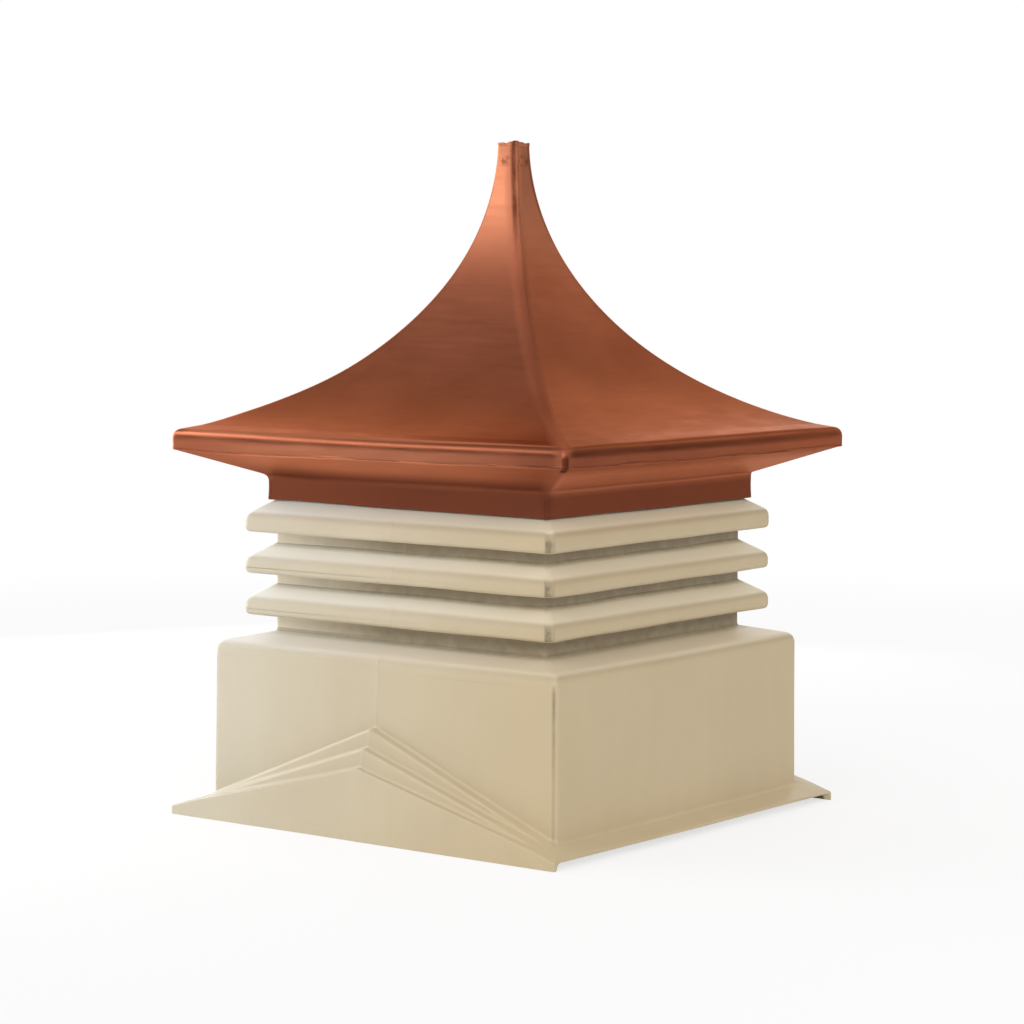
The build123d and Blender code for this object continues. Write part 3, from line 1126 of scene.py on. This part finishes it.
@dataclass
class Shoulder:
    """The sloping shoulder between the base box and the neck, with its rolled edge and neck fillet."""

    plan: Plan
    base: BaseBox
    roll: float = 15 * MM
    fillet: float = 4 * MM
    neck_corner: float = 7 * MM
    above_fillet: float = 1.5 * MM
    slope: float = math.tan(math.radians(12.6))
    lap: float = 0.6 * MM
    shell: float = 5 * MM
    uneven: Unevenness = Unevenness(0.5 * MM, 0.42, 0.4, bead=0.4 * MM)

    def build(self, maker: Maker) -> None:
        """Carries the shoulder's section round the plan, lapped over the top of the walls.

        Args:
            maker: Takes the finished piece.
        """
        out = self.base.half - self.base.draft
        neck = -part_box("front_neck_wall")[0].y
        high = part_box("front_shoulder")[1].z
        edge = high - self.slope * (out - neck)
        end = high + self.fillet + self.above_fillet
        shell, half_shell = self.shell, self.shell / 2
        corner, neck_corner = self.base.corner, self.neck_corner
        section = Section(self.plan)
        section.row(neck, end, neck_corner)
        section.row(neck, high, neck_corner, self.fillet)
        section.row(out, edge, corner, self.roll)
        section.row(out, self.base.top + self.lap / 2, corner)
        section.row(out, self.base.top - self.lap, corner)
        section.row(out - shell, self.base.top - self.lap, corner - half_shell)
        section.row(out - shell, edge - shell, corner - half_shell, self.roll / 2)
        section.row(neck - shell, high - shell, neck_corner - half_shell, self.fillet / 2)
        section.row(neck - shell, end, neck_corner - half_shell)
        grid, _ = section.soften(steps=9)
        maker.put("shoulder", self.uneven.lay_on(grid), Finish.TAN, nodes_of("shoulder"))


@dataclass
class LouvredNeck:
    """The square neck and its three louvre rings."""

    plan: Plan
    corner: float = 7 * MM
    nose_corner: float = 10 * MM
    wall: float = 5 * MM
    wall_rows: tuple[int, int] = (10, 4)
    wall_start: float = 4 * MM
    wall_uneven: Unevenness = Unevenness(0.4 * MM, 0.3, 1.4, bead=0.35 * MM)
    slope: float = math.tan(math.radians(32.0))
    nose_drop: float = 1.0 * MM
    nose_tilt: float = 0.8 * MM
    nose_reach: tuple[float, float] = (9 * MM, 13 * MM)
    foot_reach: float = 8 * MM
    cove: float = 3 * MM
    shell: float = 4 * MM
    sunk: float = 0.5 * MM
    ring_uneven: Unevenness = Unevenness(0.7 * MM, 0.23, 1.1, bead=0.35 * MM)
    ring_phase: float = 2.3

    def build(self, maker: Maker) -> None:
        """Builds the neck walls and each louvre ring.

        Args:
            maker: Takes the finished pieces.
        """
        low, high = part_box("front_neck_wall")
        half = -low.y
        start = low.z + self.wall_start
        outer_rows, inner_rows = self.wall_rows
        section = Section(self.plan)
        for height in np.linspace(high.z, start, outer_rows):
            section.row(half, height, self.corner)
        for height in np.linspace(start, high.z, inner_rows):
            section.row(half - self.wall, height, self.corner / 2)
        grid, _ = section.soften()
        # The neck walls take the recess finish, which is painted light and shade.
        maker.put("neck_walls", self.wall_uneven.lay_on(grid), Finish.RECESS_SHADE, nodes_of("neck_wall"))
        for number, level in enumerate(Level):
            self.louvre(maker, level, half, number)

    def louvre(self, maker: Maker, level: Level, neck: float, number: int) -> None:
        """Builds one hollow louvre ring: sloping top, rounded nose and flat underside.

        The bottom ring's nose is a little higher at the front left corner than at the back right one,
        and the top ring's the other way round.

        Args:
            maker: Takes the finished piece.
            level: Which ring it is.
            neck: Half width over the neck walls.
            number: Its place from the bottom, which sets its unevenness.
        """
        part = f"louvre_{level.value}"
        low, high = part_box(f"front_{part}")
        nose = -low.y
        fall_to_nose = self.slope * (nose - neck)
        soft = self.plan.softness()
        crisp_reach, soft_reach = self.nose_reach
        top_reach = crisp_reach + (soft_reach - crisp_reach) * soft
        edge = high.z - fall_to_nose + self.nose_tilt * (soft - 0.5) * (1 - number) - self.nose_drop
        inside, floor = neck - self.sunk, low.z + self.shell
        shell_corner = self.nose_corner - self.shell
        section = Section(self.plan)
        section.row(inside, high.z + 1.5 * MM, self.corner)
        section.row(neck + 0.3 * MM, high.z - 0.5 * MM, self.corner, self.cove)
        section.row(nose, edge, self.nose_corner, top_reach)
        section.row(nose, low.z, self.nose_corner, self.foot_reach)
        section.row(inside, low.z + 0.3 * MM, self.corner)
        section.row(inside, floor, self.corner)
        section.row(nose - self.shell, floor, shell_corner, self.foot_reach / 3)
        section.row(nose - self.shell, edge - self.shell / 2, shell_corner, top_reach / 2)
        section.row(inside, high.z - self.shell, self.corner)
        grid, _ = section.soften(steps=9)
        uneven = replace(self.ring_uneven, phase=self.ring_uneven.phase + self.ring_phase * number)
        maker.put(f"{level.value}_louvre_ring", uneven.lay_on(grid), Finish.TAN, nodes_of(part))


@dataclass
class CopperRoof:
    """The swept roof with its rolled fascia, soffit, collar and tip."""

    plan: Plan
    sheet: float = 3 * MM
    radius: float = 429 * MM
    centre_rise: float = 5 * MM
    sweep_rows: tuple[int, int] = (60, 30)
    hip: float = 5 * MM
    hip_growth: float = 0.012
    wide_hip: float = 4 * MM
    wide_hip_at: float = 130 * MM
    wide_hip_spread: float = 75 * MM
    seam: float = 320 * MM
    eave_corner: float = 5 * MM
    eave_roll: float = 13 * MM
    collar_half: float = 252 * MM
    collar_top: float = 489.5 * MM
    seat: float = 5 * MM
    plug: float = 13 * MM
    sway: tuple[float, float] = (2.0 * MM, 1.8 * MM)
    turn: float = math.radians(-0.4)
    sag: float = 2.6 * MM
    sag_height: Range = (4 * MM, 26 * MM)
    crown: float = 2.2 * MM
    crown_starts: Range = (0.45, 0.7)
    crown_ends: Range = (0.76, 0.92)
    droop: float = 2.6 * MM
    droop_starts: Range = (0.5, 0.75)
    droop_ends: Range = (0.88, 1.0)
    droop_loss: float = 0.6
    hem_height: float = 0.5 * MM
    hem_lip: float = 0.45 * MM
    collar_lift: float = 1.6 * MM
    collar_fall: float = 2.8 * MM
    rim_height: float = 0.5 * MM
    rim_peak: float = 2.2 * MM
    sweep_uneven: Unevenness = Unevenness(0.7 * MM, 0.3, 0.9)
    eave_uneven: Unevenness = Unevenness(0.8 * MM, 0.3, 0.9)
    soffit_uneven: Unevenness = Unevenness(0.8 * MM, 0.28, 2.9)

    def __post_init__(self) -> None:
        """Reads the driving sizes from the frame."""
        low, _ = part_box("front_fascia")
        self.half = -low.y
        self.foot = low.z
        self.tip = -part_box("spire_cap")[0].y
        self.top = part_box("spire_cap")[1].z
        self.cap_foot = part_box("front_roof_panel")[1].z
        self.centre_z = self.top + self.centre_rise
        self.centre_x = self.tip + math.sqrt(self.radius**2 - self.centre_rise**2)

    def sweep(self, half: float, depth: float = 0.0) -> float:
        """Height of the sweep's circle at this distance from the axis, or of its inner face."""
        return self.centre_z - math.sqrt((self.radius + depth) ** 2 - (self.centre_x - half) ** 2)

    def settle(self, grid: np.ndarray, uneven: Unevenness) -> np.ndarray:
        """Lets the eaves' feet hang, sets the roof slightly off the axis and lays its unevenness on.

        With near and far the smaller and larger of |x| and |y| over the half width, the foot of an
        eave hangs by sag * far^4 * (1 - (near / far)^2) between its corners, and its top stays. With
        out the distance towards the front left corner, the hip there is fuller by crown times
        (near / far)^4 a little inside its lower end, and the soffit below it is lower by droop, less
        at the corner itself.

        Args:
            grid: The points of one piece.
            uneven: The piece's unevenness.

        Returns:
            The moved points.
        """
        grid = grid.copy()
        flat = np.abs(grid[..., :2]) / self.half
        far, near = flat.max(axis=2), flat.min(axis=2)
        share = near / np.maximum(far, 1e-6)
        low = 1.0 - smooth(grid[..., 2], self.foot + self.sag_height[0], self.foot + self.sag_height[1])
        out = -grid[..., :2].sum(axis=2) / (2 * self.half)
        fuller = smooth(out, *self.crown_starts) * (1.0 - smooth(out, *self.crown_ends)) * share**4
        eased = 1.0 - self.droop_loss * smooth(out, *self.droop_ends)
        drooping = low * smooth(out, *self.droop_starts) * eased
        grid[..., 2] += self.crown * fuller - self.droop * drooping
        grid[..., 2] -= self.sag * low * far**4 * (1.0 - share**2)
        return uneven.lay_on(self.set_down(grid))

    def set_down(self, grid: np.ndarray) -> np.ndarray:
        """Turns the roof a little about the axis and moves it a little off it.

        Args:
            grid: The points of one piece.

        Returns:
            The moved points.
        """
        c, s = math.cos(self.turn), math.sin(self.turn)
        grid = grid.copy()
        grid[..., :2] = grid[..., :2] @ np.array([[c, s], [-s, c]]) + np.array(self.sway)
        return grid

    def hip_radius(self, half: float) -> np.ndarray:
        """Plan radius of the hips at this half width.

        It grows in a straight line from the tip to the eave, and the front right hip is wider by a
        bell curve, exp(-(distance / spread)^2), round its middle.

        Args:
            half: Half width of the row.

        Returns:
            The radius at each column.
        """
        near = smooth((self.plan.spread[:, 0] - self.plan.spread[:, 1]) / 2, 0.4, 1.0)
        wide = near * self.wide_hip * np.exp(-(((half - self.wide_hip_at) / self.wide_hip_spread) ** 2))
        return np.minimum(self.hip + self.hip_growth * half + wide, 0.35 * half)

    def panels(self, maker: Maker) -> None:
        """Builds the sweep: rows along a circle's arc, outside down and inside up.

        Args:
            maker: Takes the finished piece.
        """
        section = Section(self.plan)
        for depth, count in zip((0.0, self.sheet), self.sweep_rows):
            r = self.radius + depth
            start = math.asin((self.centre_z - self.cap_foot) / r)
            end = math.acos((self.centre_x - self.seam) / r)
            angles = np.linspace(start, end, count)
            for angle in angles if depth == 0.0 else angles[::-1]:
                x = self.centre_x - r * math.cos(angle)
                section.row(x, self.centre_z - r * math.sin(angle), self.hip_radius(x))
        grid, _ = section.soften()
        grid = self.settle(grid, self.sweep_uneven)
        maker.put("swept_roof", grid, Finish.COPPER, nodes_of("roof_panel"))

    def fascia(self, maker: Maker) -> None:
        """Builds the eave's roll and its upright strip, with a hem along the lower edge.

        The hem wavers by the product of two sines of the distance along the eave, and its lip stands
        out where the sum of two others is positive.

        Args:
            maker: Takes the finished piece.
        """
        half, foot, corner = self.half, self.foot, self.eave_corner
        inner, inner_corner = half - self.sheet, corner - self.sheet
        top = self.sweep(half)
        seam_radius = self.hip_radius(self.seam)
        xy = self.plan.at(half, corner)
        along = xy[:, 0] + xy[:, 1] * 1.7
        hem = self.hem_height * np.sin(along * 41.0) * np.sin(along * 13.0 + 1.0)
        lip = self.hem_lip * np.clip(np.sin(along * 17.0 + 0.7) + 0.5 * np.sin(along * 47.0), 0.0, 1.0)
        section = Section(self.plan)
        section.row(self.seam, self.sweep(self.seam), seam_radius)
        section.row(half, top + 0.6 * MM, corner, self.eave_roll)
        section.row(half - 0.4 * MM, foot + 4.6 * MM + hem, corner, 0.8 * MM)
        section.row(half - 0.4 * MM + lip, foot + 3.4 * MM + hem, corner, 0.5 * MM)
        section.row(half - 0.3 * MM, foot, corner, 1.6 * MM)
        section.row(inner, foot, inner_corner, 0.4 * MM)
        section.row(inner, top - self.sheet, inner_corner, 4 * MM)
        section.row(self.seam, self.sweep(self.seam, self.sheet), seam_radius)
        grid, _ = section.soften(steps=8)
        grid = self.settle(grid, self.eave_uneven)
        maker.put("rolled_fascia", grid, Finish.COPPER, nodes_of("fascia"))

    def soffit(self, maker: Maker) -> None:
        """Builds the soffit, the upright collar and the seat on the neck.

        The collar's foot is lower towards the right and at the front left corner.

        Args:
            maker: Takes the finished piece.
        """
        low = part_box("front_soffit")[0].z
        neck, neck_top = -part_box("front_neck_wall")[0].y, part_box("front_neck_wall")[1].z
        collar, collar_top = self.collar_half, self.collar_top
        outer, inner, seat = self.half - self.sheet, collar - self.sheet, neck - self.seat
        soft = self.plan.softness()
        near_corner = smooth(np.abs(self.plan.at(collar, 5 * MM)).min(axis=1), 190 * MM, 250 * MM)
        front_left = np.clip(2 * soft - 1, 0.0, 1.0) * near_corner
        rightward = smooth(self.plan.spread[:, 0], -1.0, 0.6)
        lift = self.collar_lift * (1.0 - front_left) - self.collar_fall * rightward
        section = Section(self.plan)
        section.row(outer, self.foot, 5 * MM)
        section.row(collar, collar_top - 1.2 * MM * soft**2, 6 * MM, (3.0 + 7.0 * soft) * MM)
        section.row(collar - 0.8 * MM, (collar_top + low) / 2, 5 * MM, 8 * MM)
        section.row(collar, low + lift, 5 * MM, 1.4 * MM)
        section.row(inner, low + lift, 4 * MM, 0.6 * MM)
        section.row(inner, neck_top, 4 * MM)
        section.row(seat, neck_top, 4 * MM)
        section.row(seat, collar_top + self.sheet, 4 * MM)
        section.row(inner, collar_top + self.sheet, 4 * MM, 2 * MM)
        section.row(outer, self.foot + self.sheet, 5 * MM)
        grid, _ = section.soften(steps=8)
        grid = self.settle(grid, self.soffit_uneven)
        maker.put("soffit_and_collar", grid, Finish.DULL_COPPER, nodes_of("soffit"))

    def cap(self, maker: Maker) -> None:
        """Builds the small plate that closes the tip.

        Its raised rim is uneven by two sines of the place round it, and higher by the cube of the
        distance towards the front right corner.

        Args:
            maker: Takes the finished piece.
        """
        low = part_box("spire_cap")[0].z
        tip, plug = self.tip, self.plug
        x, y = self.plan.spread.T
        ragged = self.rim_height * (np.sin(3.1 * x + 2.0 * y + 0.6) + np.sin(7.3 * x - 5.1 * y))
        ragged += self.rim_peak * np.clip((x - y) / 2, 0.0, 1.0) ** 3
        section = Section(self.plan)
        section.row(0.0, low, 0.0)
        section.row(plug, low, 2 * MM)
        section.row(plug, self.cap_foot, 2 * MM)
        section.row(tip, self.cap_foot, 4.5 * MM)
        section.row(tip + 0.2 * MM, self.cap_foot + 2 * MM, 4.5 * MM)
        section.row(tip + 0.2 * MM, self.top + ragged, 4.5 * MM, 0.8 * MM)
        section.row(tip - 1.6 * MM, self.top + ragged, 4 * MM, 0.5 * MM)
        section.row(tip - 2.2 * MM, self.top - 1.5 * MM, 3.5 * MM, 0.5 * MM)
        section.row(0.0, self.top - 1.2 * MM, 0.0)
        grid, _ = section.soften(steps=4, guard=0.3 * MM)
        grid = self.set_down(grid)
        maker.put("tip_plate", grid, Finish.COPPER, ("spire_cap",), poles=True)

    def build(self, maker: Maker) -> None:
        """Builds all the copper pieces.

        Args:
            maker: Takes the finished pieces.
        """
        self.panels(maker)
        self.fascia(maker)
        self.soffit(maker)
        self.cap(maker)


# ---- studio ----
@dataclass
class Softbox:
    """A large rectangular lamp that faces a point on the axis."""

    name: str
    azimuth: float
    distance: float
    height: float
    width: float
    tall: float
    radiance: float
    aim: float = 0.5

    def build(self) -> None:
        """Makes the lamp, with its power from its radiance: pi times the radiance and the area."""
        data = bpy.data.lights.new(self.name, "AREA")
        data.shape = "RECTANGLE"
        data.size, data.size_y = self.width, self.tall
        data.energy = math.pi * self.radiance * self.width * self.tall
        lamp = bpy.data.objects.new(self.name, data)
        a = math.radians(self.azimuth)
        lamp.location = (math.sin(a) * self.distance, -math.cos(a) * self.distance, self.height)
        look = Vector((0, 0, self.aim)) - lamp.location
        lamp.rotation_euler = look.to_track_quat("-Z", "Y").to_euler()
        lamp.visible_camera = False
        bpy.context.scene.collection.objects.link(lamp)


@dataclass(frozen=True)
class Glow:
    """A soft patch of light in the surroundings, round one bearing or all round.

    Heights are sines of the elevation: the patch fades in over rise and out over fall. Bearings fade
    in over the cosine of the angle to the patch's own.
    """

    strength: float
    azimuth: float | None = None
    rise: Range | None = None
    fall: Range | None = None
    breadth: Range = (0.3, 0.8)

    def add_to(self, w: Weave) -> Value:
        """Works the patch's strength out for the direction of a ray.

        Args:
            w: The world's nodes.

        Returns:
            The output with the strength.
        """
        height = w.parts(w.place)[2]
        parts = [self.strength]
        if self.rise:
            parts.append(w.step(height, *self.rise))
        if self.fall:
            parts.append(w.math("SUBTRACT", 1.0, w.step(height, *self.fall)))
        if self.azimuth is not None:
            a = math.radians(self.azimuth)
            parts.append(w.step(w.toward((math.sin(a), -math.cos(a), 0.0)), *self.breadth))
        return w.product(*parts)


@dataclass
class Studio:
    """Pale floor, softboxes, dim surroundings that show white behind the object, and the camera."""

    camera_azimuth: float = 36.9
    camera_tilt: float = 4.672
    camera_roll: float = 0.262
    camera_distance: float = 4.3494
    aim_height: float = 0.4329
    aim_side: float = 2.6 * MM
    lens: float = 105.15
    sensor: float = 36.0
    glows: tuple[Glow, ...] = (
        Glow(0.39, rise=(0.62, 0.76)),
        Glow(0.35, rise=(0.87, 0.96)),
        Glow(3.31, 38.0, rise=(0.30, 0.45), fall=(0.62, 0.76)),
        Glow(0.94, 38.0, fall=(0.30, 0.45)),
        Glow(0.75, -52.0, rise=(0.30, 0.45), fall=(0.62, 0.76)),
        Glow(0.09, 128.0, fall=(0.30, 0.45)),
        Glow(0.72, -142.0, rise=(0.30, 0.45), fall=(0.66, 0.73)),
    )
    backdrop: Glow = Glow(0.95, -142.0, fall=(0.30, 0.45))
    softboxes: tuple[Softbox, ...] = (
        Softbox("left_softbox", -70.0, 1.9, 0.70, 1.2, 1.2, 4.06),
        Softbox("high_left_softbox", -50.0, 1.9, 1.55, 0.8, 0.6, 1.31),
        Softbox("near_left_softbox", -37.0, 1.9, 1.34, 0.6, 0.52, 2.6),
        Softbox("front_softbox", 5.0, 1.9, 0.95, 0.8, 0.7, 0.46),
        Softbox("near_right_softbox", 62.0, 1.9, 0.95, 1.0, 0.7, 1.27),
        Softbox("right_softbox", 105.0, 1.9, 1.5, 0.8, 0.8, 2.85),
        Softbox("back_right_softbox", 152.0, 1.9, 0.9, 0.5, 1.4, 0.66),
        Softbox("high_right_softbox", 155.0, 1.9, 1.8, 0.8, 0.6, 0.77),
        Softbox("back_softbox", -160.0, 1.9, 0.9, 0.6, 1.4, 1.04),
        Softbox("back_left_softbox", -115.0, 2.1, 0.9, 1.4, 1.6, 1.02),
        Softbox("high_back_softbox", -140.0, 2.3, 2.4, 1.0, 1.0, 0.45),
    )
    floor_size: float = 40.0
    floor_colour: Colour = (0.9, 0.9, 0.9)
    floor_fade: Range = (1.2, 3.5)
    floor_white_near: float = 0.7
    floor_mirrored: float = 0.2

    def camera(self) -> None:
        """Sets the camera on its bearing, tilted down at the axis and rolled a little."""
        a, t = math.radians(self.camera_azimuth), math.radians(self.camera_tilt)
        back = Vector((math.sin(a) * math.cos(t), -math.cos(a) * math.cos(t), math.sin(t)))
        side = Vector((math.cos(a), math.sin(a), 0.0))
        aim = Vector((0.0, 0.0, self.aim_height)) + side * self.aim_side
        data = bpy.data.cameras.new("camera")
        data.lens, data.sensor_width = self.lens, self.sensor
        camera = bpy.data.objects.new("camera", data)
        turn = (-back).to_track_quat("-Z", "Y").to_matrix().to_4x4()
        roll = Matrix.Rotation(math.radians(self.camera_roll), 4, "Z")
        camera.matrix_world = Matrix.Translation(aim + back * self.camera_distance) @ turn @ roll
        bpy.context.scene.collection.objects.link(camera)
        bpy.context.scene.camera = camera

    def world(self) -> None:
        """White to the camera, the sum of the glows to the object, and in its gloss the backdrop as well."""
        world = bpy.data.worlds.new("studio")
        bpy.context.scene.world = world
        w = Weave(world, "Generated")
        strength = w.sum(*(glow.add_to(w) for glow in self.glows))
        ray = w.tree.nodes.new("ShaderNodeLightPath")
        mirrored = w.product(ray.outputs["Is Glossy Ray"], self.backdrop.add_to(w))
        shown = w.most(ray.outputs["Is Camera Ray"], ray.outputs["Is Transmission Ray"])
        strength = w.most(shown, w.sum(strength, mirrored))
        background = w.tree.nodes.new("ShaderNodeBackground")
        background.inputs["Color"].default_value = (1.0, 1.0, 1.0, 1.0)
        w.link(strength, background.inputs["Strength"])
        out = w.tree.nodes.new("ShaderNodeOutputWorld")
        w.link(background.outputs["Background"], out.inputs["Surface"])

    def floor_finish(self) -> bpy.types.Material:
        """Pale paint that keeps the shadow near the object and fades into white far from it.

        The share of white grows with the distance from the axis, and rays off gloss see a part of it.

        Returns:
            The finished material.
        """
        w = Weave.named("pale_floor")
        length = w.tree.nodes.new("ShaderNodeVectorMath")
        length.operation = "LENGTH"
        w.link(w.place, length.inputs[0])
        far = w.span(length.outputs["Value"], *self.floor_fade, 0.0, 1.0)
        ray = w.tree.nodes.new("ShaderNodeLightPath")
        shown = w.product(ray.outputs["Is Camera Ray"], w.span(far, 0.0, 1.0, self.floor_white_near, 1.0))
        gloss = w.most(ray.outputs["Is Glossy Ray"], ray.outputs["Is Transmission Ray"])
        gloss = w.product(gloss, far, self.floor_mirrored)
        paint = w.tree.nodes.new("ShaderNodeBsdfDiffuse")
        paint.inputs["Color"].default_value = (*self.floor_colour, 1.0)
        white = w.tree.nodes.new("ShaderNodeEmission")
        mix = w.tree.nodes.new("ShaderNodeMixShader")
        w.link(w.most(shown, gloss), mix.inputs["Fac"])
        w.link(paint.outputs["BSDF"], mix.inputs[1])
        w.link(white.outputs["Emission"], mix.inputs[2])
        out = w.tree.nodes.new("ShaderNodeOutputMaterial")
        w.link(mix.outputs["Shader"], out.inputs["Surface"])
        return w.owner

    def floor(self) -> None:
        """A plain level floor at height 0."""
        s = self.floor_size
        mesh = bpy.data.meshes.new("floor")
        mesh.from_pydata([(-s, -s, 0), (s, -s, 0), (s, s, 0), (-s, s, 0)], [], [(0, 1, 2, 3)])
        mesh.materials.append(self.floor_finish())
        floor = bpy.data.objects.new("floor", mesh)
        bpy.context.scene.collection.objects.link(floor)

    def build(self) -> None:
        """Builds the studio."""
        bpy.context.scene.view_settings.view_transform = "Standard"
        self.world()
        self.floor()
        self.camera()
        for softbox in self.softboxes:
            softbox.build()


def side_columns() -> np.ndarray:
    """Spaces the columns along a side: evenly, with more beside the parting bead and near the ends.

    Returns:
        Their places, between -1 and 1.
    """
    even = np.linspace(-0.78, 0.78, 37)
    bead = np.array([0.0019, 0.0042, 0.0085])
    ends = np.array([0.82, 0.86, 0.9, 0.93, 0.95, 0.962, 0.968, 0.974, 0.98, 0.985, 0.989, 0.9925, 0.9955])
    return np.unique(np.concatenate([even, bead, -bead, ends, -ends]))


def make_finishes() -> dict[Finish, bpy.types.Material]:
    """Makes each finish.

    The recess finish is painted light and shade: nearly white at the left end of the recesses and darker
    towards the right, most just under each louvre. The dull copper is rougher and darker.

    Returns:
        The finished materials.
    """
    # Painted light and shade on the neck walls: a near-white ground, darkened by the shade tint towards the
    # right and most just under each louvre.
    recess = MouldedPlastic(
        name="tan_recess_painted_shade",
        light=(0.9, 0.81, 0.64),
        dark=(0.84, 0.75, 0.585),
        shade_tint=(0.46, 0.395, 0.27),
        shade_tint_mark=(rise(X, -240, -20), Ramp(RING, 40, 53, 0.75, 1.0)),
    )
    copper = BrushedCopper(
        name="brushed_copper",
        light=(0.475, 0.154, 0.082),
        dark=(0.365, 0.113, 0.058),
        shade_and_stain=(0.232, 0.0675, 0.036),
    )
    dull = BrushedCopper(
        name="dull_copper",
        light=(0.50, 0.165, 0.083),
        dark=(0.40, 0.127, 0.062),
        shade_and_stain=(0.19, 0.057, 0.030),
        roughness=Pattern(14.0, (1, 1, 9), 4, 0.6, shows=(0.40, 0.50)),
        metallic=0.6,
        specular=0.0,
    )
    return {
        Finish.TAN: MouldedPlastic().make(),
        Finish.RECESS_SHADE: recess.make(),
        Finish.COPPER: copper.make(),
        Finish.DULL_COPPER: dull.make(),
    }


def main() -> None:
    """Builds the studio and every piece."""
    logging.basicConfig(level=logging.INFO, format="%(message)s")
    Studio().build()
    maker = Maker(make_finishes())
    plan = Plan.square(side_columns(), corner_steps=11)
    base = BaseBox(plan)
    base.build(maker)
    Shoulder(plan, base).build(maker)
    LouvredNeck(plan).build(maker)
    CopperRoof(plan).build(maker)


if __name__ == "__main__":
    main()
